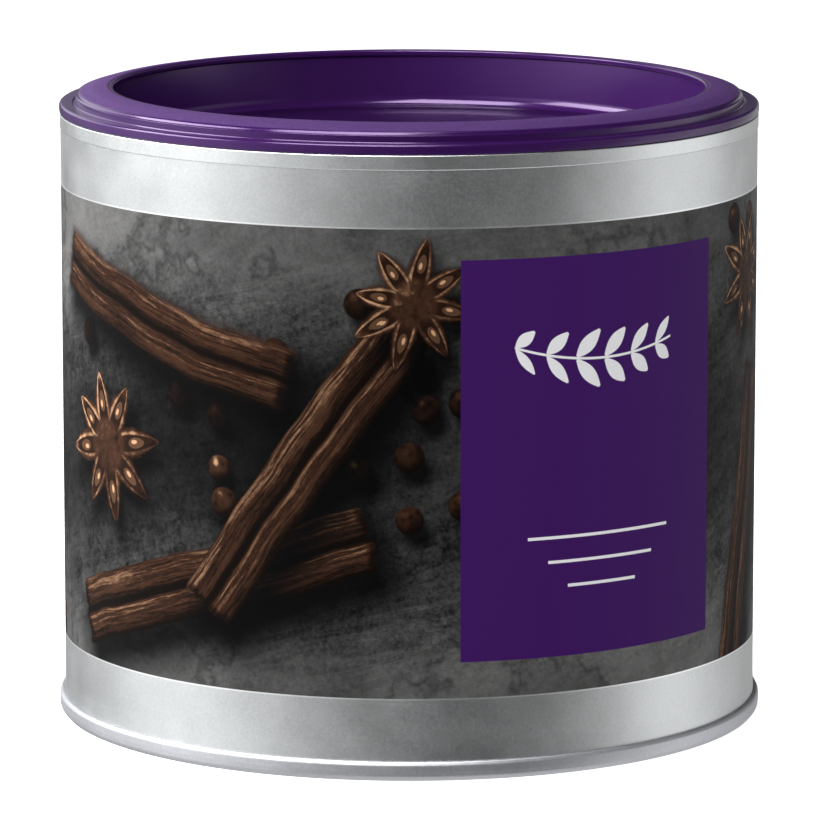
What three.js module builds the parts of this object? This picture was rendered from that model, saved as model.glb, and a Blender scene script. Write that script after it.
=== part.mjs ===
// A round spice tin: a board tube with a foil liner and a printed outer wrap, a crimped metal rim ring,
// a seamed metal bottom end, and a moulded plastic lid with a raised ring round a deep recess.
//
// Lengths are in millimetres, +Z is up, and the origin is the middle of the circle that the tin stands on.
// Every piece is turned about Z, so each one is a section of [radius, height] points. A section runs
// anticlockwise with the radius to the right and the height up, which makes its faces point outwards.

import * as THREE from "three";

// Driving dimensions.
const FLATS = 64; // flats round every turned piece, a multiple of four
const BODY_RADIUS = 49.5; // outside of the printed wrap
const RIM_Z = 86; // height of the rim that the lid sits on
const CLEARANCE = 0.1; // between the plies of the body
const SEAT_GAP = 0.2; // between pieces that sit on or in each other

const WRAP_PLY = 0.2;
const BOARD_PLY = 0.8;
const LINER_PLY = 0.1;

const SEAM_RADIUS = 50.35; // outside of the seam round the base
const SEAM_HEIGHT = 2.7;
const SHEET = 0.3; // sheet metal of the rim ring and the bottom end
const FOOT_RADIUS = 49.9; // outer edge of the flat ring that the tin stands on
const PANEL_Z = 2.9; // underside of the countersunk bottom panel
const BODY_FLARE = 0.12; // how far the body widens into the seam
const FLARE_TOP_Z = 5.2;

const BAND_HEIGHT = 2.05; // visible height of the rim ring
const BAND_PROUD = 0.1; // how far it stands out from the wrap
const RIM_TUCK = 3; // how far the rim ring reaches down inside the mouth

const FLANGE_RADIUS = 49.67; // the lid's widest ring, which covers the rim
const FLANGE_HEIGHT = 1.45;
const RING_OUTER = 47.4; // the lid's raised ring, at its foot
const RING_INNER = 42; // the lip round the recess
const RING_SHOULDER = 2.9; // height of the ring's outer shoulder above the rim
const RING_PEAK = 3.7; // height of its inner lip above the rim
const LID_WALL = 1.1;
const RECESS_FLOOR = -4.8; // the recess's floor, from the rim
const RECESS_FOOT = 41.5; // radius of the recess wall where it meets the floor's fillet
const FLOOR_STEP_RADIUS = 32; // a low round step in the recess floor
const FLOOR_STEP = 0.3;
const SKIRT_DEPTH = 5.6; // how far the lid's skirt plugs into the mouth

// Radii of the plies, from the outside in.
const wrapInner = BODY_RADIUS - WRAP_PLY;
const boardOuter = wrapInner - CLEARANCE;
const boardInner = boardOuter - BOARD_PLY;
const linerOuter = boardInner - CLEARANCE;
const linerInner = linerOuter - LINER_PLY;

// Heights that several pieces share.
const rimTop = RIM_Z - SEAT_GAP / 2;
const bandFoot = RIM_Z - BAND_HEIGHT;
const boardTop = rimTop - SHEET - SEAT_GAP;
const tubeFoot = SHEET + 2 * SEAT_GAP;

// Points along an arc round [centreR, centreZ], from one angle to another in degrees, both ends included.
function arc(centreR, centreZ, radius, from, to, steps) {
  const points = [];
  for (let i = 0; i <= steps; i += 1) {
    const angle = THREE.MathUtils.degToRad(from + ((to - from) * i) / steps);
    points.push([centreR + radius * Math.cos(angle), centreZ + radius * Math.sin(angle)]);
  }
  return points;
}

// A section that doesn't start and end on the axis is closed on itself.
function turned(name, section, material) {
  const onAxis = section[0][0] === 0;
  const outline = onAxis ? section : [...section, section[0]];
  const points = outline.map(([r, z]) => new THREE.Vector2(r, z));
  const geometry = new THREE.LatheGeometry(points, FLATS);
  geometry.rotateX(Math.PI / 2);
  const mesh = new THREE.Mesh(geometry, material);
  mesh.name = name;
  return mesh;
}

const finishes = {
  violetPlastic: new THREE.MeshStandardMaterial({ color: 0x3a1c55, roughness: 0.32, metalness: 0 }),
  satinFoil: new THREE.MeshStandardMaterial({ color: 0xb9bdbf, roughness: 0.4, metalness: 0.9 }),
  tinplate: new THREE.MeshStandardMaterial({ color: 0xc2c6c8, roughness: 0.3, metalness: 1 }),
  greyBoard: new THREE.MeshStandardMaterial({ color: 0x9a8b78, roughness: 0.95, metalness: 0 }),
  linerFoil: new THREE.MeshStandardMaterial({ color: 0xc6c9cb, roughness: 0.35, metalness: 0.95 }),
};

// The lid's section: the underside from the middle out, then the top from the rim back to the middle.
function lidSection() {
  const floorTop = RIM_Z + RECESS_FLOOR;
  const floorUnder = floorTop - LID_WALL;
  const flangeUnder = RIM_Z + SEAT_GAP / 2;
  const flangeTop = RIM_Z + FLANGE_HEIGHT;
  const shoulderZ = RIM_Z + RING_SHOULDER;
  const peakZ = RIM_Z + RING_PEAK;
  const skirtFoot = RIM_Z - SKIRT_DEPTH;
  const skirtInner = RING_OUTER - LID_WALL;
  const cupOuter = RECESS_FOOT + LID_WALL;
  const stepIn = FLOOR_STEP_RADIUS - FLOOR_STEP;
  const flangeRound = 0.5;
  const shoulderRound = 0.6;
  const fillet = 0.9;
  const undercut = 0.25;
  const lipRound = 0.45;
  const lipFoot = peakZ - 1;
  const ceilingDrop = 1.25;
  return [
    [0, floorUnder + FLOOR_STEP],
    [stepIn, floorUnder + FLOOR_STEP],
    [FLOOR_STEP_RADIUS, floorUnder],
    ...arc(cupOuter - fillet, floorUnder + fillet, fillet, -90, 0, 3),
    [cupOuter + undercut, peakZ - ceilingDrop],
    [skirtInner, shoulderZ - ceilingDrop],
    [skirtInner, skirtFoot + LID_WALL / 2],
    [skirtInner + LID_WALL / 3, skirtFoot],
    [RING_OUTER - LID_WALL / 3, skirtFoot],
    [RING_OUTER, skirtFoot + LID_WALL],
    [RING_OUTER, flangeUnder],
    [FLANGE_RADIUS - flangeRound / 2, flangeUnder],
    [FLANGE_RADIUS, flangeUnder + flangeRound / 2],
    ...arc(FLANGE_RADIUS - flangeRound, flangeTop - flangeRound, flangeRound, 0, 90, 3),
    [RING_OUTER, flangeTop],
    ...arc(RING_OUTER - shoulderRound, shoulderZ - shoulderRound, shoulderRound, 0, 80, 3),
    [RING_INNER + 2 * lipRound, peakZ - lipRound / 4],
    ...arc(RING_INNER + lipRound, peakZ - lipRound, lipRound, 90, 180, 3),
    [RING_INNER, lipFoot + undercut],
    [RING_INNER + undercut, lipFoot],
    ...arc(RECESS_FOOT - fillet, floorTop + fillet, fillet, 0, -90, 3),
    [FLOOR_STEP_RADIUS, floorTop],
    [stepIn, floorTop + FLOOR_STEP],
    [0, floorTop + FLOOR_STEP],
  ];
}

// The rim ring's section: an upside-down channel crimped over the tube's top edge.
function rimSection() {
  const outer = BODY_RADIUS + BAND_PROUD;
  const leafInner = boardOuter + CLEARANCE;
  const mouthOuter = linerInner - SEAT_GAP;
  const mouthInner = mouthOuter - SHEET;
  const roll = 0.3;
  return [
    [leafInner, bandFoot],
    [outer, bandFoot],
    ...arc(outer - roll, rimTop - roll, roll, 0, 90, 3),
    ...arc(mouthInner + roll, rimTop - roll, roll, 90, 180, 3),
    [mouthInner, RIM_Z - RIM_TUCK],
    [mouthOuter, RIM_Z - RIM_TUCK],
    [mouthOuter, rimTop - SHEET],
    [leafInner, rimTop - SHEET],
  ];
}

// The outer wrap's section: a thin ply that widens a little into the base seam.
function wrapSection() {
  return [
    [wrapInner + BODY_FLARE, tubeFoot],
    [BODY_RADIUS + BODY_FLARE, tubeFoot],
    [BODY_RADIUS + BODY_FLARE, SEAM_HEIGHT],
    [BODY_RADIUS, FLARE_TOP_Z],
    [BODY_RADIUS, bandFoot - SEAT_GAP],
    [wrapInner, bandFoot - SEAT_GAP],
    [wrapInner, FLARE_TOP_Z],
    [wrapInner + BODY_FLARE, SEAM_HEIGHT],
  ];
}

function boardSection() {
  return [
    [boardInner, tubeFoot],
    [boardOuter + BODY_FLARE, tubeFoot],
    [boardOuter + BODY_FLARE, SEAM_HEIGHT],
    [boardOuter, FLARE_TOP_Z],
    [boardOuter, boardTop],
    [boardInner, boardTop],
  ];
}

function linerSection() {
  return [
    [linerInner, tubeFoot],
    [linerOuter, tubeFoot],
    [linerOuter, boardTop],
    [linerInner, boardTop],
  ];
}

// The bottom end's section: a countersunk panel with a bead, the wall down to the foot, and the seam
// that folds up round the tube's lower edge.
function bottomSection() {
  const wallOuter = linerInner - SEAT_GAP;
  const wallInner = wallOuter - SHEET;
  const seamInner = SEAM_RADIUS - SHEET;
  const beadOuter = 34.8;
  const beadInner = 30.2;
  const beadRise = 0.4;
  const grooveInner = 44.6;
  const grooveRise = 0.6;
  const slope = 0.6;
  const lean = 0.1; // moves each slope's upper face so that the sheet keeps its thickness
  const hookInner = BODY_RADIUS + BODY_FLARE + CLEARANCE;
  const footRound = 0.3;
  const footLift = 0.7; // height at which the foot's outer slope meets the seam's side
  const seamRound = 0.6;
  const under = PANEL_Z;
  const over = PANEL_Z + SHEET;
  return [
    [0, under],
    [beadInner, under],
    [beadInner + slope, under + beadRise],
    [beadOuter - slope, under + beadRise],
    [beadOuter, under],
    [grooveInner, under],
    [grooveInner + slope, under + grooveRise],
    [wallInner - slope / 2, under + grooveRise],
    [wallInner, under + grooveRise - slope / 2],
    [wallInner, footRound],
    [wallInner + footRound, 0],
    [FOOT_RADIUS, 0],
    [SEAM_RADIUS, footLift],
    ...arc(SEAM_RADIUS - seamRound, SEAM_HEIGHT - seamRound, seamRound, 0, 90, 4),
    [hookInner, SEAM_HEIGHT],
    [hookInner, SEAM_HEIGHT - SHEET],
    [seamInner, SEAM_HEIGHT - SHEET],
    [seamInner, SHEET + SEAT_GAP / 2],
    [wallOuter, SHEET + SEAT_GAP / 2],
    [wallOuter, over + grooveRise - slope / 2],
    [wallOuter - slope / 2, over + grooveRise],
    [grooveInner + slope - lean, over + grooveRise],
    [grooveInner - lean, over],
    [beadOuter + lean, over],
    [beadOuter - slope + lean, over + beadRise],
    [beadInner + slope - lean, over + beadRise],
    [beadInner - lean, over],
    [0, over],
  ];
}

const tin = new THREE.Group();
tin.name = "spice_tin";
tin.add(
  turned("lid", lidSection(), finishes.violetPlastic),
  turned("rim_ring", rimSection(), finishes.tinplate),
  turned("printed_wrap", wrapSection(), finishes.satinFoil),
  turned("board_tube", boardSection(), finishes.greyBoard),
  turned("foil_liner", linerSection(), finishes.linerFoil),
  turned("bottom_end", bottomSection(), finishes.tinplate),
);

export default tin;
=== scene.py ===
"""Looks of a round spice tin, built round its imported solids.

Sections and the print are laid out in millimetres. Meshes, settings and the stage are in metres.
"""

import math

import bpy
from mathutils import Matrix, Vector


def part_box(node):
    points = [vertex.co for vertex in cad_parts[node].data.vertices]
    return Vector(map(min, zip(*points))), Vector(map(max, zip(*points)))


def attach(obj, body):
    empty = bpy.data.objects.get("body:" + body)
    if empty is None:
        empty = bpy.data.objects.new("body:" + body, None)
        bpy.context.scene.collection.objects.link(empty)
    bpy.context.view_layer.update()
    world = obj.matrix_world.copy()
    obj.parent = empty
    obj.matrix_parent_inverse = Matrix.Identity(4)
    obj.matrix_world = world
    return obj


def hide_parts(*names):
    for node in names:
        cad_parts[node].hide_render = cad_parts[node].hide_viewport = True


bl_info = {
    "name": "Round spice tin",
    "version": (1, 0, 0),
    "blender": (4, 5, 0),
    "location": "View3D > Sidebar > Spice tin",
    "description": "Builds a foil-wrapped spice tin with a printed band and a moulded violet lid",
    "category": "Add Mesh",
}

MM = 0.001
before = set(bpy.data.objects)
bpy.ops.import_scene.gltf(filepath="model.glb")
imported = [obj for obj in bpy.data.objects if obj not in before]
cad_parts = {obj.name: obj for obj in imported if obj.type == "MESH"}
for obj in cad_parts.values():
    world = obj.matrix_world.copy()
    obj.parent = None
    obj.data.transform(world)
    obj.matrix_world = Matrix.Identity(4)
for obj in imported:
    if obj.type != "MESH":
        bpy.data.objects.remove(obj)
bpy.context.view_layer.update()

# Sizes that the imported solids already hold, in millimetres.
LID_LOW, LID_HIGH = [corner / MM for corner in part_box("lid")]
RIM_LOW, RIM_HIGH = [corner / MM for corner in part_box("rim_ring")]
WRAP_LOW, WRAP_HIGH = [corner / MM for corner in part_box("printed_wrap")]
BOARD_LOW, BOARD_HIGH = [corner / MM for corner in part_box("board_tube")]
LINER_LOW, LINER_HIGH = [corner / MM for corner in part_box("foil_liner")]
BASE_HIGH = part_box("bottom_end")[1] / MM

# Sizes of hidden parts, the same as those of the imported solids, in millimetres.
WRAP_PLY = 0.2
LINER_PLY = 0.1
CLEARANCE = 0.1  # between the plies of the body
SHEET = 0.3  # sheet metal of the rim ring and the base
SEAT_GAP = 0.2  # between the liner and the metal inside it
MOUTH = LINER_HIGH.x - LINER_PLY - SEAT_GAP  # outer radius of the metal inside the liner
FLARE_TOP = 5.2  # height under which the body widens into the base seam


def length(name, description, millimetres):
    """A length setting whose default is given in millimetres."""
    return bpy.props.FloatProperty(
        name=name,
        description=description,
        default=millimetres * MM,
        min=0.0,
        precision=5,
        subtype="DISTANCE",
        unit="LENGTH",
    )


def colour(name, description, rgb):
    """A colour setting, in linear light."""
    return bpy.props.FloatVectorProperty(
        name=name,
        description=description,
        default=rgb,
        size=3,
        min=0.0,
        max=1.0,
        subtype="COLOR",
    )


def share(name, description, value):
    """A setting from 0 to 1."""
    return bpy.props.FloatProperty(
        name=name,
        description=description,
        default=value,
        min=0.0,
        max=1.0,
        subtype="FACTOR",
    )


class TIN_PG_body(bpy.types.PropertyGroup):
    """Sizes and metals of the tin's body and base."""

    body_radius: length("Body radius", "Outside of the printed wrap", 49.5)
    rim_height: length("Rim height", "Height of the rim that the lid sits on", 86.0)
    band_height: length("Rim band height", "Visible height of the rim ring under the lid", 2.05)
    seam_height: length("Seam height", "Height of the seam round the base", 2.7)
    lap_width: length("Lap width", "How far the wrap overlaps itself at the back", 9.0)
    lap_height: length("Lap height", "How far the overlap stands out", 0.1)
    flats: bpy.props.IntProperty(
        name="Flats",
        description="Flats round each turned piece",
        default=256,
        min=32,
        max=512,
    )
    foil_colour: colour("Foil colour", "Silver of the wrap", (0.56, 0.575, 0.58))
    tinplate_colour: colour("Tinplate colour", "Metal of the base", (0.50, 0.51, 0.54))
    foil_roughness: share("Foil roughness", "How satin the foil is", 0.4)


class TIN_PG_lid(bpy.types.PropertyGroup):
    """Sizes and plastic of the lid."""

    flange_height: length("Flange height", "Height of the lid's widest ring", 1.5)
    ring_outer: length("Ring outer radius", "Radius of the raised ring at its foot", 47.4)
    ring_inner: length("Ring inner radius", "Radius of the lip round the recess", 42.0)
    shoulder_height: length("Shoulder height", "Ring's outer shoulder above the rim", 2.9)
    recess_depth: length("Recess depth", "Recess floor below the rim", 4.8)
    step_radius: length("Floor step radius", "Radius of the low step in the recess floor", 32.0)
    wall: length("Wall", "Thickness of the moulding", 1.1)
    plastic_colour: colour("Plastic colour", "Violet of the moulding", (0.035, 0.0058, 0.079))
    gloss_roughness: share("Gloss roughness", "Roughness of the polished outer faces", 0.15)
    satin_roughness: share("Satin roughness", "Roughness inside the recess", 0.2)
    floor_roughness: share("Floor roughness", "Roughness of the recess floor", 0.16)
    texture_roughness: share("Texture roughness", "Roughness of the grained ring top", 0.5)


class TIN_PG_print(bpy.types.PropertyGroup):
    """Layout and inks of the printed band."""

    band_low: length("Band foot", "Height of the printed band's lower edge", 11.4)
    band_high: length("Band top", "Height of the printed band's upper edge", 76.0)
    panel_left: length("Panel left", "Left edge of the panel, round the wrap from the front", 7.0)
    panel_right: length("Panel right", "Right edge of the panel, round the wrap", 49.0)
    panel_low: length("Panel foot", "Height of the panel's lower edge", 16.4)
    panel_high: length("Panel top", "Height of the panel's upper edge", 71.7)
    panel_colour: colour("Panel colour", "Violet ink of the panel", (0.055, 0.0108, 0.13))
    ornament_colour: colour("Ornament colour", "Ink of the sprig and rules", (0.98, 0.97, 1.0))
    slate_dark: colour("Slate dark", "Darkest tone of the printed slate", (0.002, 0.0021, 0.0024))
    slate_light: colour("Slate light", "Lightest tone of the printed slate", (0.36, 0.355, 0.35))
    spice_dark: colour("Spice dark", "Darkest tone of the printed spices", (0.004, 0.002, 0.0012))
    spice_mid: colour("Spice middle", "Middle tone of the printed spices", (0.054, 0.0232, 0.0128))
    spice_light: colour("Spice light", "Lightest tone of the printed spices", (0.6, 0.34, 0.19))
    ink_roughness: share("Ink roughness", "Roughness of the printed varnish", 0.5)


class TIN_PG_stage(bpy.types.PropertyGroup):
    """Camera, lights and floor."""

    camera_distance: length("Camera distance", "How far the camera stands in front", 857.0)
    camera_height: length("Camera height", "Height of the camera", 193.5)
    camera_pitch: bpy.props.FloatProperty(
        name="Camera pitch",
        description="How far the camera looks down",
        default=math.radians(10.015),
        subtype="ANGLE",
    )
    lens: bpy.props.FloatProperty(
        name="Lens",
        description="Focal length in millimetres on a 36 mm frame",
        default=264.3,
        min=1.0,
    )
    shift_x: bpy.props.FloatProperty(
        name="Shift",
        description="Slight sideways lens shift that frames the tin",
        default=0.0053,
    )
    floor_colour: colour("Floor colour", "Pale floor", (0.86, 0.86, 0.86))


class TIN_PG_all(bpy.types.PropertyGroup):
    """Every setting of the tin and its stage."""

    body: bpy.props.PointerProperty(type=TIN_PG_body)
    lid: bpy.props.PointerProperty(type=TIN_PG_lid)
    print: bpy.props.PointerProperty(type=TIN_PG_print)
    stage: bpy.props.PointerProperty(type=TIN_PG_stage)


# Node trees


class Value:
    """A number that varies over a surface or a mesh, which plain arithmetic works on."""

    def __init__(self, graph, socket):
        self.graph = graph
        self.socket = socket

    def __add__(self, other):
        return self.graph.math("ADD", self, other)

    __radd__ = __add__

    def __sub__(self, other):
        return self.graph.math("SUBTRACT", self, other)

    def __rsub__(self, other):
        return self.graph.math("SUBTRACT", other, self)

    def __mul__(self, other):
        return self.graph.math("MULTIPLY", self, other)

    __rmul__ = __mul__

    def __truediv__(self, other):
        return self.graph.math("DIVIDE", self, other)

    def __pow__(self, other):
        return self.graph.math("POWER", self, other)

    def __neg__(self):
        return 0.0 - self

    def __abs__(self):
        return self.graph.math("ABSOLUTE", self)

    def above(self, limit):
        """1 where the value is over the limit, and 0 elsewhere."""
        return self.graph.math("GREATER_THAN", self, limit)

    def least(self, other):
        """The smaller of two values."""
        return self.graph.math("MINIMUM", self, other)

    def most(self, other):
        """The larger of two values."""
        return self.graph.math("MAXIMUM", self, other)

    def clamped(self):
        """The value, kept from 0 to 1."""
        return self.most(0.0).least(1.0)

    def root(self):
        """The square root, and 0 for a value under 0."""
        return self.graph.math("SQRT", self.most(0.0))

    def rise(self, low, high):
        """0 under low and 1 over high, with a smooth slope between."""
        wires = {"Value": self, "From Min": low, "From Max": high}
        made = self.graph.node("ShaderNodeMapRange", wires, interpolation_type="SMOOTHSTEP")
        return Value(self.graph, made.outputs[0])

    def fall(self, low, high):
        """1 under low and 0 over high, with a smooth slope between."""
        return 1.0 - self.rise(low, high)

    def within(self, low, high, edge):
        """1 from low to high and 0 elsewhere, with a smooth slope at both ends."""
        return self.rise(low - edge, low + edge) * self.fall(high - edge, high + edge)


class Graph:
    """Adds nodes to one tree, each input wired to a socket or set to a plain value."""

    COLUMN = 6  # nodes in each column of the drawn tree
    GROUP = "ShaderNodeGroup"

    def __init__(self, tree):
        self.tree = tree

    def wire(self, socket, value):
        """Join a socket to another one, or give it a plain value."""
        if isinstance(value, Value):
            value = value.socket
        if isinstance(value, bpy.types.NodeSocket):
            self.tree.links.new(value, socket)
        elif value is not None:
            socket.default_value = value

    def node(self, kind, wires=None, **settings):
        """A new node, with its inputs wired and its settings made."""
        count = len(self.tree.nodes)
        made = self.tree.nodes.new(kind)
        made.location = (200 * (count // self.COLUMN), -220 * (count % self.COLUMN))
        for name, value in settings.items():
            setattr(made, name, value)
        for name, value in (wires or {}).items():
            self.wire(made.inputs[name], value)
        return made

    def value(self, kind, wires=None, output=0, **settings):
        """One output of a new node."""
        return Value(self, self.node(kind, wires, **settings).outputs[output])

    def math(self, operation, *values):
        """What one Math node gives."""
        return self.value("ShaderNodeMath", dict(enumerate(values)), operation=operation)

    def sine(self, angle):
        """The sine of an angle in radians."""
        return self.math("SINE", angle)

    def cosine(self, angle):
        """The cosine of an angle in radians."""
        return self.math("COSINE", angle)

    def parts(self, vector):
        """The three numbers of a vector."""
        made = self.node("ShaderNodeSeparateXYZ", {0: vector})
        return [Value(self, output) for output in made.outputs]

    def vector(self, x=0.0, y=0.0, z=0.0):
        """A vector from its three numbers."""
        return self.value("ShaderNodeCombineXYZ", {0: x, 1: y, 2: z})

    def noise(self, place, scale, detail=3.0, roughness=0.55, distortion=0.0):
        """Cloudy noise from 0 to 1, with a mean of about a half."""
        wires = {"Vector": place, "Scale": scale, "Detail": detail, "Roughness": roughness}
        wires["Distortion"] = distortion
        return self.value("ShaderNodeTexNoise", wires)

    def blend(self, factor, a, b):
        """A plain number between a and b."""
        wires = {0: factor, 2: a, 3: b}
        return self.value("ShaderNodeMix", wires, data_type="FLOAT")

    def paint(self, factor, a, b):
        """A colour between a and b."""
        wires = {0: factor, 6: opaque(a), 7: opaque(b)}
        return self.value("ShaderNodeMix", wires, 2, data_type="RGBA")

    def ramp(self, factor, stops):
        """A colour from a list of (place, colour) stops."""
        made = self.node("ShaderNodeValToRGB", {0: factor})
        elements = made.color_ramp.elements
        while len(elements) < len(stops):
            elements.new(1.0)
        for element, (place, rgb) in zip(elements, stops):
            element.position = place
            element.color = opaque(rgb)
        return Value(self, made.outputs[0])

    def bump(self, height, distance):
        """A normal from a height, where distance is the height of 1, in metres."""
        wires = {"Height": height, "Distance": distance, "Strength": 1.0}
        return self.value("ShaderNodeBump", wires)

    def group(self, tree, output, **wires):
        """One output of a node group, whose inputs are named with _ for a space."""
        made = self.node(self.GROUP, node_tree=tree)
        for name, value in wires.items():
            self.wire(made.inputs[name.replace("_", " ")], value)
        if isinstance(output, str):
            return Value(self, made.outputs[output])
        return [Value(self, made.outputs[name]) for name in output]


def diagonal(x, y):
    """Length of the line whose sides are x and y."""
    return (x * x + y * y).root()


def opaque(rgb):
    """A plain colour with its alpha, or a socket as it is."""
    if isinstance(rgb, (Value, bpy.types.NodeSocket)):
        return rgb
    return (*rgb[:3], 1.0)


def scaled(rgb, factor):
    """A plain colour made lighter or darker."""
    return tuple(min(1.0, channel * factor) for channel in rgb[:3])


SOCKETS = {
    "value": "NodeSocketFloat",
    "count": "NodeSocketInt",
    "vector": "NodeSocketVector",
    "colour": "NodeSocketColor",
    "geometry": "NodeSocketGeometry",
    "material": "NodeSocketMaterial",
}


def add_sockets(tree, inputs, outputs):
    """Sockets of a node group: inputs as (kind, default) by name, and outputs as kinds by name."""
    for label, (kind, default) in inputs.items():
        socket = tree.interface.new_socket(label, in_out="INPUT", socket_type=SOCKETS[kind])
        if default is not None:
            socket.default_value = opaque(default) if kind == "colour" else default
    for label, kind in outputs.items():
        tree.interface.new_socket(label, in_out="OUTPUT", socket_type=SOCKETS[kind])


def shader_group(name, inputs, outputs, fill):
    """A shader node group. fill(graph, inputs by name) gives its outputs by name."""
    tree = bpy.data.node_groups.new(name, "ShaderNodeTree")
    add_sockets(tree, inputs, outputs)
    graph = Graph(tree)
    source = graph.node("NodeGroupInput")
    given = {label: Value(graph, source.outputs[label]) for label in inputs}
    graph.node("NodeGroupOutput", fill(graph, given))
    return tree


def shared(name, build):
    """A node group by name, built the first time it is asked for."""
    return bpy.data.node_groups.get(name) or build()


def new_material(name):
    """A material with an empty tree, and its graph, Principled node and object coordinates."""
    material = bpy.data.materials.new(name)
    material.use_nodes = True
    material.node_tree.nodes.clear()
    graph = Graph(material.node_tree)
    output = graph.node("ShaderNodeOutputMaterial")
    shader = graph.node("ShaderNodeBsdfPrincipled")
    graph.wire(output.inputs["Surface"], shader.outputs["BSDF"])
    place = graph.value("ShaderNodeTexCoord", output="Object")
    return material, graph, shader, place


# Turned pieces

ARC_STEPS = 7  # steps of a rounding that turns through a right angle
STRAIGHT = math.radians(178.0)  # a corner that opens wider than this isn't rounded
AXIS_MERGE = 2e-7  # metres within which the points on the axis become one


def rounded(corners, closed):
    """Points of a section whose corners are (radius, height, rounding), in millimetres."""
    spots = [Vector(corner[:2]) for corner in corners]
    count = len(corners)
    points = []
    for index, (spot, corner) in enumerate(zip(spots, corners)):
        end = index in (0, count - 1) and not closed
        if end or corner[2] == 0:
            points.append(spot)
            continue
        before = spots[index - 1]
        after = spots[(index + 1) % count]
        points += fillet(before, spot, after, corner[2])
    return points


def fillet(before, spot, after, radius):
    """An arc that rounds one corner, with a point on each straight just outside it."""
    into = before - spot
    out = after - spot
    opening = into.angle(out)
    if opening > STRAIGHT:
        return [spot]
    most = 0.46 * min(into.length, out.length)  # leaves room for the next corner's arc
    trim = min(radius / math.tan(opening / 2), most)
    radius = trim * math.tan(opening / 2)
    into.normalize()
    out.normalize()
    centre = spot + (into + out).normalized() * math.hypot(radius, trim)
    start = spot + into * trim - centre
    turn = start.angle_signed(spot + out * trim - centre)
    steps = max(2, round(ARC_STEPS * abs(turn) / (math.pi / 2)))
    support = trim * 1.08  # where the points just outside the arc lie
    points = [spot + into * support]
    for step in range(steps + 1):
        angle = -turn * step / steps
        cos = math.cos(angle)
        sin = math.sin(angle)
        points.append(centre + Vector((start.x * cos - start.y * sin, start.x * sin + start.y * cos)))
    points.append(spot + out * support)
    return points


def turned_tree():
    """Turns a section, given as edges in the XZ plane, about the Z axis."""
    tree = bpy.data.node_groups.new("turned_section", "GeometryNodeTree")
    tree.is_modifier = True
    inputs = {
        "Section": ("geometry", None),
        "Flats": ("count", 64),
        "Material": ("material", None),
        "Lap Height": ("value", 0.0),
        "Lap Angle": ("value", 0.1),
        "Lap Radius": ("value", 0.0),
    }
    add_sockets(tree, inputs, {"Mesh": "geometry"})
    graph = Graph(tree)
    given = graph.node("NodeGroupInput").outputs

    def step(kind, wires):
        """The geometry that one more node makes."""
        return graph.node(kind, wires).outputs[0]

    hub = MM  # the turning path is a small circle that the section's radii are counted from
    section = step("GeometryNodeMeshToCurve", {"Mesh": given["Section"]})
    out, _, up = graph.parts(graph.value("GeometryNodeInputPosition"))
    across = graph.vector(out - hub, -up)
    section = step("GeometryNodeSetPosition", {"Geometry": section, "Position": across})
    path = step("GeometryNodeCurvePrimitiveCircle", {"Resolution": given["Flats"], "Radius": hub})
    mesh = step("GeometryNodeCurveToMesh", {"Curve": path, "Profile Curve": section})
    mesh = step("GeometryNodeMergeByDistance", {"Geometry": mesh, "Distance": AXIS_MERGE})
    mesh = step("GeometryNodeFlipFaces", {"Mesh": mesh})

    # The wrap's overlap: a step at the back whose far side runs out smoothly.
    x, y, _ = graph.parts(graph.value("GeometryNodeInputPosition"))
    radius = diagonal(x, y)
    angle = graph.math("ARCTAN2", x, y)
    lap = Value(graph, given["Lap Angle"])
    height = Value(graph, given["Lap Height"]) * angle.above(0.0) * angle.fall(lap * 0.7, lap)
    height = height * radius.above(given["Lap Radius"])
    outward = graph.vector(x / radius * height, y / radius * height)
    mesh = step("GeometryNodeSetPosition", {"Geometry": mesh, "Offset": outward})

    mesh = step("GeometryNodeSetShadeSmooth", {"Geometry": mesh})
    mesh = step("GeometryNodeRealizeInstances", {"Geometry": mesh})
    mesh = step("GeometryNodeSetMaterial", {"Geometry": mesh, "Material": given["Material"]})
    graph.node("NodeGroupOutput", {"Mesh": mesh})
    return tree


def turned(name, corners, material, flats, node, slot, **inputs):
    """A turned piece of the tin, as a plain mesh that stands for a CAD node."""
    closed = corners[0][0] > 0  # a section that starts on the axis stays open
    points = rounded(corners, closed)
    edges = [(index, index + 1) for index in range(len(points) - 1)]
    if closed:
        edges.append((len(points) - 1, 0))
    section = bpy.data.meshes.new(name + "_section")
    section.from_pydata([(p.x * MM, 0.0, p.y * MM) for p in points], edges, [])
    source = bpy.data.objects.new(name + "_section", section)
    bpy.context.scene.collection.objects.link(source)

    tree = shared("turned_section", turned_tree)
    modifier = source.modifiers.new("turn", "NODES")
    modifier.node_group = tree
    identifiers = {item.name: item.identifier for item in tree.interface.items_tree}
    for label, value in {"Flats": flats, "Material": material, **inputs}.items():
        modifier[identifiers[label]] = value
    depsgraph = bpy.context.evaluated_depsgraph_get()
    mesh = bpy.data.meshes.new_from_object(source.evaluated_get(depsgraph))
    mesh.name = name
    bpy.data.objects.remove(source)

    piece = bpy.data.objects.new(name, mesh)
    bpy.context.scene.collection.objects.link(piece)
    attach(piece, "root")
    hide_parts(node)
    return piece


# Finishes

METAL_LIGHT = 1.12  # how much lighter the metal's grain gets than its colour


def metal_grain_group():
    """Fine grain and soft waves of thin sheet metal or foil."""

    def fill(graph, given):
        """Outputs of the group, from its inputs."""
        place = given["Place"]
        fine = graph.noise(place, given["Grain"], 3.0, 0.7)
        broad = graph.noise(place, given["Waves"], 2.0, 0.5)
        height = fine * 0.25 + broad
        tone = (fine - 0.5) * 1.6 + (broad - 0.5) * 1.1
        return {"Height": height, "Tone": tone}

    inputs = {"Place": ("vector", None), "Grain": ("value", 3000.0), "Waves": ("value", 120.0)}
    return shader_group("metal_grain", inputs, {"Height": "value", "Tone": "value"}, fill)


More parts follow.
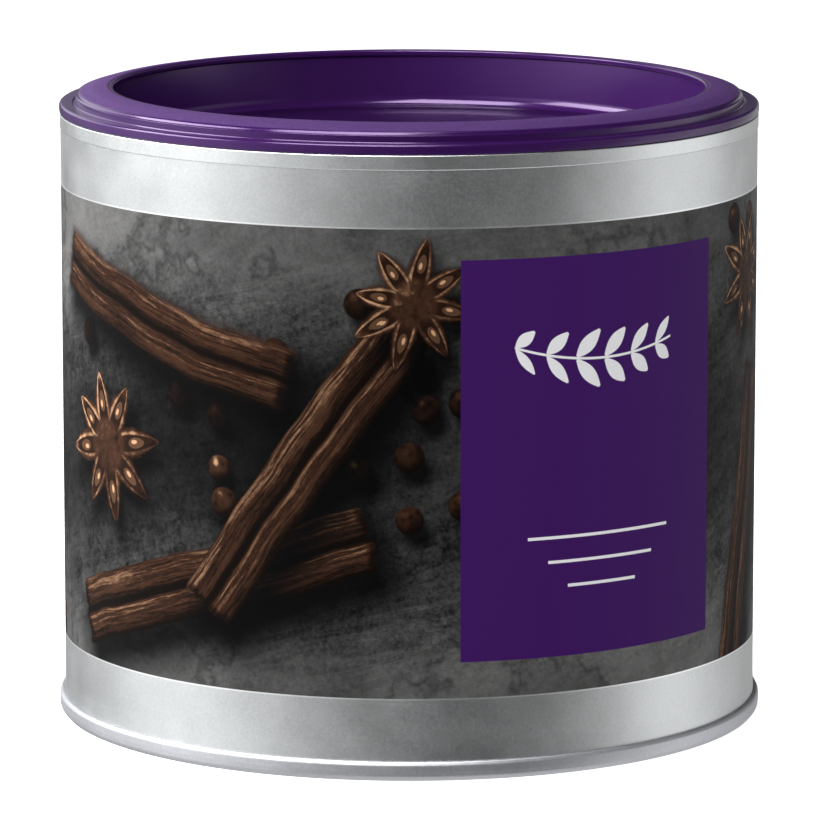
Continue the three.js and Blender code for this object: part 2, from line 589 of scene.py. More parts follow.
def grained(graph, place, grain, waves):
    """Height and tone of the metal's grain, from its fineness and that of its waves."""
    tree = shared("metal_grain", metal_grain_group)
    return graph.group(tree, ("Height", "Tone"), Place=place, Grain=grain, Waves=waves)


def metal_colour(graph, tone, rgb, low):
    """The metal's colour, darker or lighter by the tone of its grain."""
    return graph.paint((tone + 0.5).clamped(), scaled(rgb, low), scaled(rgb, METAL_LIGHT))


def metal_material(name, rgb, roughness, grain=3000.0, waves=120.0):
    """Satin sheet metal."""
    material, graph, shader, place = new_material(name)
    height, tone = grained(graph, place, grain, waves)
    graph.wire(shader.inputs["Base Color"], metal_colour(graph, tone, rgb, 0.86))
    graph.wire(shader.inputs["Roughness"], roughness + tone * 0.1)
    graph.wire(shader.inputs["Normal"], graph.bump(height, 0.00001))
    shader.inputs["Metallic"].default_value = 1.0
    return material


def board_material():
    """Raw wound board, with a faint spiral seam."""
    material, graph, shader, place = new_material("grey_board")
    x, y, z = graph.parts(place)
    fibres = graph.noise(graph.vector(x, y, z * 3.0), 900.0, 4.0, 0.65)
    winding = graph.sine(z * 180.0 + graph.math("ARCTAN2", x, y))
    tone = fibres + winding * 0.06
    board = graph.paint(tone, (0.2, 0.155, 0.11), (0.42, 0.35, 0.27))
    graph.wire(shader.inputs["Base Color"], board)
    graph.wire(shader.inputs["Normal"], graph.bump(fibres, 0.00006))
    shader.inputs["Roughness"].default_value = 0.92
    return material


def plastic_material(lid):
    """Moulded violet plastic: polished, with a fine grain on the raised ring's top and painted shade on
    the recess floor.
    """
    material, graph, shader, place = new_material("violet_plastic")
    x, y, z = graph.parts(place)
    radius = diagonal(x, y) / MM
    height = z / MM
    inner = lid.ring_inner / MM
    outer = lid.ring_outer / MM
    peak = LID_HIGH.z

    # Where the ring's grained top, the recess, its floor and its fillet are.
    top = radius.rise(inner + 0.5, inner + 1.0) * radius.fall(outer - 0.9, outer - 0.5)
    top = top * height.rise(peak - 1.4, peak - 1.2)
    inside = radius.fall(inner + 0.2, inner + 0.5)
    floor = height.fall(peak - 7.9, peak - 7.3) * radius.fall(inner - 1.4, inner - 0.8)
    corner = height.fall(peak - 7.6, peak - 6.6) * radius.rise(inner - 1.8, inner - 1.4)

    grain = graph.noise(place, 2600.0, 2.0, 0.6)
    flow = graph.noise(place, 60.0, 2.0, 0.5)
    satin = inside * (1.0 - corner) * lid.satin_roughness
    satin = satin.most(floor * lid.floor_roughness)
    rough = satin.most(graph.blend(top, lid.gloss_roughness, lid.texture_roughness))
    graph.wire(shader.inputs["Roughness"], rough + (flow - 0.5) * 0.06)

    violet = lid.plastic_colour
    pale = tuple(channel * 1.6 + 0.018 for channel in violet)
    speckle = (top * (grain * 2.4 - 0.6) + (flow - 0.5) * 0.12).clamped()
    # Painted shade: the recess floor's violet is darkened towards a copy at 0.3 of its brightness, in
    # place of the deep recess's shade.
    plain = graph.paint(floor * 0.8, violet, scaled(violet, 0.3))
    graph.wire(shader.inputs["Base Color"], graph.paint(speckle, plain, pale))
    relief = grain * (top * 0.9 + 0.02) + flow * 0.3
    graph.wire(shader.inputs["Normal"], graph.bump(relief, 0.00008))
    shader.inputs["IOR"].default_value = 1.5
    shader.inputs["Specular IOR Level"].default_value = 0.5
    shader.inputs["Specular Tint"].default_value = (0.82, 0.6, 1.0, 1.0)
    return material


# The printed band

LIGHT_U = -0.5  # the printed light comes from the upper left
LIGHT_V = 0.85
SHADOW_U = 1.8  # how far printed shadows fall, in millimetres
SHADOW_V = -3.2
SHADOW_INK = (0.0012, 0.0012, 0.0015)
PODS = 8.0  # of a star
SLATE_MIDDLE = 42.0  # height at which the slate is darkest


def local_axes(graph, given):
    """Place in a motif's own turned axes: along it and across it."""
    du = given["U"] - given["Centre U"]
    dv = given["V"] - given["Centre V"]
    cos = graph.cosine(given["Turn"])
    sin = graph.sine(given["Turn"])
    along = du * cos + dv * sin
    across = dv * cos - du * sin
    return along, across, cos, sin


def shadow_axes(along, across, cos, sin, share_fallen):
    """The same place, counted from the motif's shadow, which falls a share of the full way."""
    shade_along = along - (cos * SHADOW_U + sin * SHADOW_V) * share_fallen
    shade_across = across - (cos * SHADOW_V - sin * SHADOW_U) * share_fallen
    return shade_along, shade_across


MOTIF_INPUTS = {
    **{name: ("value", 0.0) for name in ("U", "V", "Centre U", "Centre V", "Turn")},
    "Reach": ("value", 20.0),
    "Blur": ("value", 0.2),
    "Dark": ("colour", (0.006, 0.003, 0.002)),
    "Middle": ("colour", (0.1, 0.04, 0.02)),
    "Light": ("colour", (0.5, 0.27, 0.13)),
}
MOTIF_OUTPUTS = {"Color": "colour", "Mask": "value", "Shadow": "value"}


def spice_colour(graph, given, tone):
    """Brown tones from dark over middle to light."""
    lower = graph.paint(tone.rise(0.0, 0.5), given["Dark"], given["Middle"])
    return graph.paint(tone.rise(0.45, 1.0), lower, given["Light"])


def box_distance(along, across, reach, half, corner):
    """Distance outside a round-cornered box, negative inside."""
    q = abs(along) - reach + corner
    p = abs(across) - half + corner
    outside = (q.most(0.0) ** 2.0 + p.most(0.0) ** 2.0).root()
    return outside + q.most(p).least(0.0) - corner


def quill_group():
    """A rolled bark quill, printed as two long rolls side by side."""

    def fill(graph, given):
        """Outputs of the group, from its inputs."""
        along, across, cos, sin = local_axes(graph, given)
        seed = given["Centre U"] * 0.37 + given["Centre V"]  # makes each quill another one

        # The outline bends along its length, and its ends are ragged.
        wave = graph.noise(graph.vector(along * 0.06, seed, 0.0), 1.0, 2.0) - 0.5
        ragged = graph.noise(graph.vector(across * 0.5, seed, 3.0), 1.0, 3.0) - 0.5
        across = across + wave * 2.2
        half = given["Half Width"]
        reach = given["Reach"] + ragged * 3.0
        distance = box_distance(along, across, reach, half, 0.8)
        mask = distance.fall(-given["Blur"], given["Blur"])

        # Two domed rolls side by side, in bark with streaks, flakes and cracks.
        side = across / half
        lobe = abs(side) * 2.0 - 1.0
        dome = (1.0 - lobe * lobe).root()
        facing = cos * LIGHT_V - sin * LIGHT_U
        slope = lobe * graph.math("SIGN", side) * facing
        streaks = graph.noise(graph.vector(along * 0.08, across * 1.7, seed), 1.0, 5.0, 0.66)
        flakes = graph.noise(graph.vector(along * 0.8, across * 2.4, seed), 1.0, 4.0, 0.66)
        tone = (dome * 0.4 + slope * 0.36 + 0.12) * ((streaks - 0.5) * 3.4 + 0.75).clamped()
        tone = tone + (flakes - 0.5) * 0.55 * dome
        cracks = abs(streaks - 0.47).fall(0.0, 0.03) * 0.6
        tone = tone * abs(side).rise(0.0, 0.2) * (1.0 - cracks)
        hollow = abs(along).rise(reach - 1.4, reach - 0.4) * dome  # at the cut ends
        tone = tone * (1.0 - hollow * 0.8)

        shade_along, shade_across = shadow_axes(along, across, cos, sin, 1.0)
        shade = box_distance(shade_along, shade_across, reach, half, 2.0).fall(-2.0, 5.5)
        return {"Color": spice_colour(graph, given, tone.clamped()), "Mask": mask, "Shadow": shade}

    inputs = {**MOTIF_INPUTS, "Half Width": ("value", 4.5)}
    return shader_group("quill", inputs, MOTIF_OUTPUTS, fill)


def star_group():
    """A star of eight pointed pods, each open along the top round a seed."""

    def fill(graph, given):
        """Outputs of the group, from its inputs."""
        along, across, cos, sin = local_axes(graph, given)
        reach = given["Reach"]

        # The nearest pod, each of which differs a little in length and place.
        radius = diagonal(along, across)
        angle = graph.math("ARCTAN2", across, along)
        sector = 2 * math.pi / PODS
        number = graph.math("ROUND", angle / sector)
        chance = graph.value("ShaderNodeTexWhiteNoise", {"W": number + reach}, noise_dimensions="1D")
        fold = angle - number * sector + (chance - 0.5) * 0.12
        out = radius * graph.cosine(fold)
        off = radius * graph.sine(fold)
        tip = reach * (0.84 + chance * 0.24)
        share_out = (out / tip).clamped()
        half = graph.sine(share_out ** 0.85 * math.pi) ** 0.7 * reach * 0.205
        pod = (abs(off) - half).most(out - tip)
        core = radius - reach * 0.17
        distance = pod.least(core)
        mask = distance.fall(-given["Blur"], given["Blur"])

        # Woody walls with an opening between two lips.
        side = off / half.most(0.01)
        dome = (1.0 - side * side).root()
        wrinkle = graph.noise(graph.vector(along * 0.5, across * 0.5, chance), 1.0, 4.0, 0.65)
        lit = (along * LIGHT_U + across * LIGHT_V) / reach * 0.25
        wall = dome * 0.36 + lit + (wrinkle - 0.5) * 1.2 + 0.04
        opening = abs(side).fall(0.42, 0.56) * share_out.rise(0.3, 0.42) * share_out.fall(0.8, 0.93)
        lips = abs(side).rise(0.4, 0.55) * abs(side).fall(0.62, 0.85)
        wall = wall + lips * share_out.rise(0.25, 0.4) * 0.3
        tone = wall * (1.0 - opening) + opening * (0.1 + wrinkle * 0.15)

        # A glossy seed in the opening.
        seed_out = (share_out - 0.6) / 0.15
        seed_off = side / 0.36
        seed = seed_out * seed_out + seed_off * seed_off
        gleam = ((seed_out + 0.25) ** 2.0 + (seed_off - 0.2) ** 2.0).fall(0.02, 0.2)
        tone = tone * seed.rise(0.85, 1.1) + seed.fall(0.85, 1.1) * (0.55 + gleam * 0.5)

        x, y = shadow_axes(along, across, cos, sin, 0.8)
        shade_radius = diagonal(x, y)
        petals = graph.cosine(graph.math("ARCTAN2", y, x) * PODS) * 0.16 + 0.72
        shade = (shade_radius - reach * petals).fall(-3.0, 4.0)
        return {"Color": spice_colour(graph, given, tone.clamped()), "Mask": mask, "Shadow": shade}

    return shader_group("star", MOTIF_INPUTS, MOTIF_OUTPUTS, fill)


def peppercorn_group():
    """Wrinkled peppercorns scattered by chance, thicker where Density is high."""

    def corns(graph, u, v, given):
        """Place in the nearest corn, its size, whether it is there, and a chance number."""
        pitch = given["Pitch"]
        flat = graph.vector(u / pitch, v / pitch)
        wires = {"Vector": flat, "Scale": 1.0, "Randomness": 0.55}
        made = graph.node("ShaderNodeTexVoronoi", wires, voronoi_dimensions="2D")
        first, second, third = graph.parts(made.outputs["Color"])
        x, y, _ = graph.parts(made.outputs["Position"])
        size = pitch * (0.26 + second * 0.06)
        crowd = graph.noise(graph.vector(x * pitch * 0.03, y * pitch * 0.03, 5.0), 1.0, 1.0)
        right = (u - x * pitch) / size
        up = (v - y * pitch) / size
        there = (crowd.rise(0.5, 0.7) * given["Density"]).above(first)
        return right, up, size, there, third

    def fill(graph, given):
        """Outputs of the group, from its inputs."""
        u, v = given["U"], given["V"]
        right, up, size, there, chance = corns(graph, u, v, given)
        far = diagonal(right, up)
        edge = given["Blur"] / size
        mask = far.fall(1.0 - edge, 1.0 + edge) * there
        dome = (1.0 - far * far).root()
        wires = {"Vector": graph.vector(u * 0.9, v * 0.9, dome), "Scale": 1.0}
        wrinkle = graph.value("ShaderNodeTexVoronoi", wires, "Distance", feature="SMOOTH_F1")
        lit = dome * 0.4 + (right * LIGHT_U + up * LIGHT_V) * 0.42 + 0.12
        tone = lit * (0.15 + wrinkle * 1.5) * (0.45 + chance * 0.5)
        gleam = ((right + 0.3) ** 2.0 + (up - 0.42) ** 2.0).fall(0.0, 0.12) * 0.25
        tone = (tone * 0.8 + gleam).clamped()

        x, y, _, near, _ = corns(graph, u - SHADOW_U * 0.6, v - SHADOW_V * 0.6, given)
        shade = diagonal(x, y).fall(0.5, 1.55) * near
        return {"Color": spice_colour(graph, given, tone), "Mask": mask, "Shadow": shade}

    inputs = {name: MOTIF_INPUTS[name] for name in ("U", "V", "Blur", "Dark", "Middle", "Light")}
    inputs["Pitch"] = ("value", 7.5)
    inputs["Density"] = ("value", 0.3)
    return shader_group("peppercorns", inputs, MOTIF_OUTPUTS, fill)


def slate_group():
    """Dark riven slate."""

    def fill(graph, given):
        """Outputs of the group, from its inputs."""
        place = given["Place"]
        u, v = given["U"], given["V"]

        # Broad clouds, riven streaks, hairline cracks, grain and pits.
        cloud = graph.noise(place, 0.035, 5.0, 0.62)
        streak_place = graph.vector(u * 0.03 + v * 0.012, v * 0.16 - u * 0.05, 2.0)
        streaks = graph.noise(streak_place, 1.0, 5.0, 0.68, 0.8)
        ridge = 1.0 - abs(streaks - 0.5) * 14.0
        crack = 1.0 - abs(cloud - 0.52) * 40.0
        grain = graph.noise(place, 1.6, 3.0, 0.75)
        pits = graph.noise(place, 0.4, 4.0, 0.78)

        # It is darkest and roughest along one height, where the light pool is weakest.
        from_middle = (v - SLATE_MIDDLE) * (v - SLATE_MIDDLE)
        pool = graph.noise(place, 0.02, 1.0) - 0.35 + from_middle * 0.0011
        near = from_middle.fall(200.0, 900.0)
        rough = (pits - 0.5) * 0.7 + ridge.clamped() * 0.14 + (grain - 0.5) * 0.6
        tone = (cloud - 0.25) * 0.8 + rough * (near * 0.8 + 0.3)
        tone = (tone - crack.clamped() * 0.15 + 0.16).clamped() * pool.clamped()
        return {"Color": graph.paint(tone ** 1.3, given["Dark"], given["Light"])}

    inputs = {
        "Place": ("vector", None),
        **{name: MOTIF_INPUTS[name] for name in ("U", "V")},
        "Dark": ("colour", (0.006, 0.006, 0.007)),
        "Light": ("colour", (0.12, 0.126, 0.135)),
    }
    return shader_group("slate", inputs, {"Color": "colour"}, fill)


def sprig_group():
    """A plain leaf sprig lying on its side, with three short rules under it."""

    def fill(graph, given):
        """Outputs of the group, from its inputs."""
        u = given["U"] - given["Centre U"]
        v = given["V"] - given["Sprig V"]

        # The bowed stem.
        stem = v - u * u * 0.012
        line = abs(stem).fall(0.12, 0.22) * u.rise(-13.6, -13.4) * u.fall(12.0, 12.2)

        # Leaves in pairs at even joints, smaller towards both ends.
        pitch = 4.5
        from_joint = u - graph.math("FLOOR", u / pitch) * pitch
        taper = 1.05 - abs(u) / 38.0
        lean = math.radians(46.0)
        cos, sin = math.cos(lean), math.sin(lean)
        up = abs(stem)
        out = (from_joint * cos + up * sin) / taper
        off = (up * cos - from_joint * sin) / taper
        half = graph.sine((out / 5.6).clamped() * math.pi) * 1.05
        leaf = (abs(off) - half).fall(-0.06, 0.06) * out.rise(0.2, 0.4) * out.fall(5.2, 5.4)
        leaf = leaf * u.rise(-13.5, -13.4) * u.fall(13.4, 13.5)

        # Rules, each shorter than the one above.
        rules = 0.0
        spacing = 3.4
        for number, reach in enumerate((11.5, 8.5, 5.5)):
            height = given["V"] - given["Rules V"] + number * spacing
            rules = abs(height).fall(0.16, 0.26) * abs(u).fall(reach, reach + 0.1) + rules
        return {"Mask": (line.most(leaf) + rules).clamped()}

    inputs = {
        **{name: MOTIF_INPUTS[name] for name in ("U", "V", "Centre U")},
        "Sprig V": ("value", 60.0),
        "Rules V": ("value", 30.0),
    }
    return shader_group("sprig", inputs, {"Mask": "value"}, fill)


FOLD = -70.0  # the picture is printed twice round the tin, from here and from half a turn further
CORN_SHADE, QUILL_SHADE, STAR_SHADE = 0.9, 0.96, 0.94  # depth of each kind's shadow
SPRIG_HEIGHT, RULES_HEIGHT = 0.74, 0.3  # shares of the panel's height


def motif(u, v, turn, reach, blur, **others):
    """Inputs of one printed motif, from its place in millimetres and its turn in degrees."""
    placed = {"Centre_U": u, "Centre_V": v, "Turn": math.radians(turn)}
    return {**placed, "Reach": reach, "Blur": blur, **others}


QUILLS = (
    motif(-40.0, 61.0, -16.0, 24.0, 1.0, Half_Width=4.4),
    motif(-31.0, 25.5, 17.0, 27.0, 0.15, Half_Width=4.6),
    motif(-15.0, 43.0, 54.0, 25.0, 0.12, Half_Width=4.3),
    motif(62.0, 30.0, 76.0, 22.0, 0.35, Half_Width=4.4),
)
STARS = (
    motif(-50.0, 42.5, 12.0, 11.5, 0.12),
    motif(0.5, 66.0, 33.0, 9.0, 0.5),
    motif(63.0, 65.0, 20.0, 10.0, 0.4),
)


class Picture:
    """The printed picture, laid down motif by motif."""

    def __init__(self, graph, u, v, ground):
        self.graph = graph
        self.u = u
        self.v = v
        self.colour = ground

    def lay(self, tree, depth, **wires):
        """Print one more motif, with its shadow, over what is there."""
        graph = self.graph
        rgb, mask, shadow = graph.group(tree, tuple(MOTIF_OUTPUTS), U=self.u, V=self.v, **wires)
        shaded = graph.paint(shadow * depth, self.colour, SHADOW_INK)
        self.colour = graph.paint(mask, shaded, rgb)
        # The next motif waits for this one, which keeps the shader's working memory small.
        wait = mask * 1e-6
        self.u = self.u + wait
        self.v = self.v + wait


def picture(graph, settings, place, u, v, half_turn):
    """Colour of the printed band: slate with whole spices, and the violet panel over it."""
    tones = {
        "Dark": opaque(settings.spice_dark),
        "Middle": opaque(settings.spice_mid),
        "Light": opaque(settings.spice_light),
    }
    u = graph.value("ShaderNodeMath", {0: u, 1: FOLD + half_turn, 2: FOLD}, operation="WRAP")
    slate_tones = {"Dark": opaque(settings.slate_dark), "Light": opaque(settings.slate_light)}
    ground = graph.group(shared("slate", slate_group), "Color", Place=place, U=u, V=v, **slate_tones)
    printed = Picture(graph, u, v, ground)
    corns = shared("peppercorns", peppercorn_group)
    printed.lay(corns, CORN_SHADE, Density=0.8, Pitch=7.0, Blur=0.16, **tones)
    for wires in QUILLS:
        printed.lay(shared("quill", quill_group), QUILL_SHADE, **wires, **tones)
    for wires in STARS:
        printed.lay(shared("star", star_group), STAR_SHADE, **wires, **tones)
    u, v = printed.u, printed.v

    edge = 0.05
    left, right = settings.panel_left / MM, settings.panel_right / MM
    low, high = settings.panel_low / MM, settings.panel_high / MM
    panel = u.within(left, right, edge) * v.within(low, high, edge)
    with_panel = graph.paint(panel, printed.colour, settings.panel_colour)
    wires = {"U": u, "V": v, "Centre_U": (left + right) / 2}
    wires["Sprig_V"] = low + (high - low) * SPRIG_HEIGHT
    wires["Rules_V"] = low + (high - low) * RULES_HEIGHT
    ornament = graph.group(shared("sprig", sprig_group), "Mask", **wires)
    return graph.paint(ornament * panel, with_panel, settings.ornament_colour)


def wrap_material(body, settings):
    """Satin foil with the printed band, whose ink is matte and not metallic."""
    material, graph, shader, place = new_material("printed_foil")
    x, y, z = graph.parts(place)
    radius = body.body_radius / MM
    u = graph.math("ARCTAN2", x, -y) * radius
    v = z / MM
    low, high = settings.band_low / MM, settings.band_high / MM
    inked = v.within(low, high, 0.04)

    height, tone = grained(graph, place, 2800.0, 130.0)
    foil = metal_colour(graph, tone, body.foil_colour, 0.85)

    # A painted highlight: a fine bright line on the foil along both edges of the ink.
    painted_edge_highlight = v.rise(high, high + 0.05) * v.fall(high + 0.12, high + 0.3)
    painted_edge_highlight = painted_edge_highlight + v.fall(low - 0.05, low) * v.rise(low - 0.3, low - 0.12)
    foil = graph.paint(painted_edge_highlight.clamped() * 0.6, foil, (0.95, 0.96, 0.97))

    place_mm = graph.vector(x / MM, y / MM, v)
    ink = picture(graph, settings, place_mm, u, v, math.pi * radius)
    graph.wire(shader.inputs["Base Color"], graph.paint(inked, foil, ink))
    graph.wire(shader.inputs["Metallic"], 1.0 - inked)
    rough = graph.blend(inked, body.foil_roughness, settings.ink_roughness)
    graph.wire(shader.inputs["Roughness"], rough + tone * 0.1)
    graph.wire(shader.inputs["Normal"], graph.bump(height + inked * 0.4, 0.000012))
    shader.inputs["IOR"].default_value = 1.12
    return material


# Operators


class TIN_OT_lid(bpy.types.Operator):
    """Build the moulded violet lid"""

    bl_idname = "spice_tin.lid"
    bl_label = "Build lid"

    def execute(self, context):
        """Build from the scene's settings."""
        tin = context.scene.spice_tin
        lid = tin.lid
        rim = tin.body.rim_height / MM
        wall = lid.wall / MM
        outer, inner = lid.ring_outer / MM, lid.ring_inner / MM
        floor = rim - lid.recess_depth / MM
        step = lid.step_radius / MM
        seat = rim + 0.04  # underside of the flange, just over the rim band
        flange_top = rim + lid.flange_height / MM
        shoulder = rim + lid.shoulder_height / MM
        peak = LID_HIGH.z
        foot = inner - 0.5  # radius at the foot of the recess wall
        skirt_foot = LID_LOW.z + 0.3
        rise = 0.3  # height and slope of the low step in the floor
        gate, gate_wall, gate_floor = 4.0, 0.4, 0.1  # the round gate mark in the middle
        corners = [
            (0.0, floor - wall + rise, 0.0),
            (step - rise, floor - wall + rise, 0.2),
            (step, floor - wall, 0.2),
            (foot + wall, floor - wall, 1.6),
            (foot + wall + 0.5, peak - 1.3, 0.3),
            (outer - wall, shoulder - 1.3, 0.3),
            (outer - wall, skirt_foot, 0.3),
            (outer - 0.3, skirt_foot, 0.3),
            (outer, skirt_foot + 1.4, 0.5),
            (outer, seat, 0.05),
            (LID_HIGH.x - 0.1, seat, 0.15),
            (LID_HIGH.x, seat + 0.5, 0.3),
            (LID_HIGH.x - 0.02, flange_top - 0.02, 0.6),
            (outer + 0.45, flange_top - 0.06, 0.15),
            (outer + 0.12, flange_top - 0.2, 0.12),
            (outer, flange_top, 0.1),
            (outer - 0.05, shoulder - 0.55, 0.1),
            (outer - 0.22, shoulder - 0.42, 0.1),
            (outer - 0.4, shoulder - 0.1, 0.3),
            (outer - 0.95, shoulder + 0.06, 0.4),
            ((outer + inner) / 2, peak - 0.22, 6.0),
            (inner + 0.75, peak, 0.5),
            (inner, peak - 0.12, 0.3),
            (inner, peak - 0.85, 0.2),
            (inner + 0.3, peak - 1.0, 0.1),
            (foot, floor, 1.9),
            (step + rise, floor, 0.25),
            (step, floor + rise, 0.25),
            (gate, floor + rise, 0.2),
            (gate - gate_wall, floor + gate_floor, 0.15),
            (0.0, floor + gate_floor, 0.0),
        ]
        turned("violet_lid", corners, plastic_material(lid), tin.body.flats, "lid", "violet_plastic")
        return {"FINISHED"}


class TIN_OT_rim(bpy.types.Operator):
    """Build the crimped rim ring under the lid"""

    bl_idname = "spice_tin.rim"
    bl_label = "Build rim ring"

    def execute(self, context):
        """Build from the scene's settings."""
        body = context.scene.spice_tin.body
        rim = body.rim_height / MM
        foot = rim - body.band_height / MM
        top = rim - 0.02  # just under the lid's flange
        corners = [
            (RIM_HIGH.x - SHEET, foot, 0.02),
            (RIM_HIGH.x - 0.06, foot, 0.03),
            (RIM_HIGH.x, foot + 0.12, 0.1),
            (RIM_HIGH.x, top, 0.16),
            (MOUTH - SHEET, top, 0.28),
            (MOUTH - SHEET, RIM_LOW.z, 0.08),
            (MOUTH, RIM_LOW.z, 0.08),
            (MOUTH, top - SHEET, 0.1),
            (RIM_HIGH.x - SHEET, top - SHEET, 0.1),
        ]
        silver = scaled(body.foil_colour, METAL_LIGHT)
        material = metal_material("rim_metal", silver, body.foil_roughness * 0.95)
        turned("rim_band", corners, material, body.flats, "rim_ring", "rim_metal")
        return {"FINISHED"}


class TIN_OT_body(bpy.types.Operator):
    """Build the printed wrap, the board tube and the foil liner"""

    bl_idname = "spice_tin.body"
    bl_label = "Build body"

    def execute(self, context):
        """Build from the scene's settings."""
        tin = context.scene.spice_tin
        body = tin.body
        outer = body.body_radius / MM
        wrap_top = (body.rim_height - body.band_height) / MM - 0.01  # just under the rim band
        flare = WRAP_HIGH.x - outer
        flare_foot = body.seam_height / MM - 0.3  # hidden just behind the seam
        corners = [
            (outer + flare - WRAP_PLY, WRAP_LOW.z, 0.0),
            (outer + flare, WRAP_LOW.z, 0.0),
            (outer + flare, flare_foot, 0.6),
            (outer, FLARE_TOP, 2.4),
            (outer, wrap_top, 0.02),
            (outer - WRAP_PLY, wrap_top, 0.02),
            (outer - WRAP_PLY, FLARE_TOP, 2.4),
            (outer + flare - WRAP_PLY, flare_foot, 0.6),
        ]
        lap = {
            "Lap Height": body.lap_height,
            "Lap Angle": body.lap_width / body.body_radius,
            "Lap Radius": (outer - WRAP_PLY / 2) * MM,
        }
        material = wrap_material(body, tin.print)
        flats = body.flats * 2
        turned("foil_wrap", corners, material, flats, "printed_wrap", "printed_foil", **lap)

        board = BOARD_HIGH.x - flare
        inner = LINER_HIGH.x + CLEARANCE
        corners = [
            (inner, BOARD_LOW.z, 0.0),
            (board + flare, BOARD_LOW.z, 0.0),
            (board + flare, flare_foot, 0.6),
            (board, FLARE_TOP, 2.4),
            (board, BOARD_HIGH.z, 0.1),
            (inner, BOARD_HIGH.z, 0.1),
        ]
        turned("wound_board", corners, board_material(), body.flats, "board_tube", "grey_board")

        liner = LINER_HIGH.x
        corners = [
            (liner - LINER_PLY, LINER_LOW.z, 0.0),
            (liner, LINER_LOW.z, 0.0),
            (liner, LINER_HIGH.z, 0.0),
            (liner - LINER_PLY, LINER_HIGH.z, 0.0),
        ]
        material = metal_material("liner_foil", body.foil_colour, 0.35)
        turned("inner_foil", corners, material, body.flats, "foil_liner", "liner_foil")
        return {"FINISHED"}


class TIN_OT_base(bpy.types.Operator):
    """Build the seamed metal bottom end"""

    bl_idname = "spice_tin.base"
    bl_label = "Build base"

    def execute(self, context):
        """Build from the scene's settings."""
        body = context.scene.spice_tin.body
        outer = BASE_HIGH.x
        top = body.seam_height / MM
        panel = 2.9  # height of the countersunk panel's underside
        hook = WRAP_HIGH.x + 0.05  # where the seam's upper edge meets the wrap
        bead_in, bead_out, groove = 30.2, 34.8, 44.6
        slope, bead, rise = 0.6, 0.4, 0.6
        lean = 0.1  # moves each slope's upper face so that the sheet keeps its thickness
        lower = [
            (0.0, panel, 0.0),
            (bead_in, panel, 0.5),
            (bead_in + slope, panel + bead, 0.5),
            (bead_out - slope, panel + bead, 0.5),
            (bead_out, panel, 0.5),
            (groove, panel, 0.5),
            (groove + slope, panel + rise, 0.5),
            (MOUTH - SHEET, panel + rise, 0.5),
            (MOUTH - SHEET, 0.0, 0.35),
        ]
        seam = [
            (outer - 0.55, 0.0, 0.3),
            (outer - 0.06, 0.6, 0.7),
            (outer, 1.35, 0.8),
            (outer - 0.02, top - 0.5, 0.5),
            (outer - 0.28, top, 0.3),
            (hook, top - 0.04, 0.06),
            (hook, top - SHEET, 0.06),
            (outer - SHEET, top - SHEET, 0.1),
            (outer - SHEET, SHEET + CLEARANCE, 0.2),
            (MOUTH, SHEET + CLEARANCE, 0.2),
        ]
        over = panel + SHEET
        upper = [
            (MOUTH, over + rise, 0.6),
            (groove + slope, over + rise, 0.5),
            (groove - lean, over, 0.5),
            (bead_out + lean, over, 0.5),
            (bead_out - slope + lean, over + bead, 0.5),
            (bead_in + slope - lean, over + bead, 0.5),
            (bead_in - lean, over, 0.5),
            (0.0, over, 0.0),
        ]
        material = metal_material("tinplate", body.tinplate_colour, 0.5, 2200.0, 90.0)
        corners = [*lower, *seam, *upper]
        turned("seamed_base", corners, material, body.flats, "bottom_end", "tinplate")
        return {"FINISHED"}


# The stage

# Brightness of the studio's walls, by azimuth in degrees from the front towards the right.
SURROUND = {
    -180: 0.12, -163: 0.15, -150: 0.28, -120: 0.75, -95: 1.45, -72: 1.5, -40: 0.62, -10: 0.17,
    15: 0.03, 42: 0.13, 68: 0.5, 86: 1.4, 106: 1.35, 130: 0.55, 160: 0.5, 180: 0.12,
}
# The same for the walls' upper part, over eye level.
UPPER = {
    -180: 0.25, -155: 1.5, -125: 2.8, -95: 2.3, -60: 1.5, -10: 0.2, 40: 0.1, 80: 0.6,
    110: 0.3, 135: 0.05, 180: 0.05,
}
CEILING = 0.06  # brightness of the studio's dark ceiling
BOUNCE = 0.9  # brightness of what lies below, as a white table gives

# Azimuth in degrees, distance, height, size, watts, height aimed at, and the rays that miss the light.
SOFTBOXES = {
    "key_softbox": (-88.0, 0.3, 0.26, (0.24, 0.16), 1.6, 0.08, None),
    "top_softbox": (-165.0, 0.2, 0.85, (0.2, 0.2), 0.8, 0.06, None),
    "front_softbox": (-10.0, 0.75, 1.15, (0.6, 0.5), 12.0, 0.05, "visible_glossy"),
    "crown_softbox": (-30.0, 0.55, 1.1, (0.8, 0.7), 26.0, 0.08, "visible_diffuse"),
}


def softbox(name, azimuth, distance, height, size, energy, aim_height, missed_by):
    """A soft rectangular light, at an azimuth from the front towards the right."""
    light = bpy.data.lights.new(name, "AREA")
    light.shape = "RECTANGLE"
    light.size, light.size_y = size
    light.energy = energy
    lamp = bpy.data.objects.new(name, light)
    bpy.context.scene.collection.objects.link(lamp)
    turn = math.radians(azimuth)
    lamp.location = (distance * math.sin(turn), -distance * math.cos(turn), height)
    towards = Vector((0.0, 0.0, aim_height)) - lamp.location
    lamp.rotation_mode = "QUATERNION"
    lamp.rotation_quaternion = towards.to_track_quat("-Z", "Y")
    lamp.visible_camera = False
    if missed_by:
        setattr(lamp, missed_by, False)


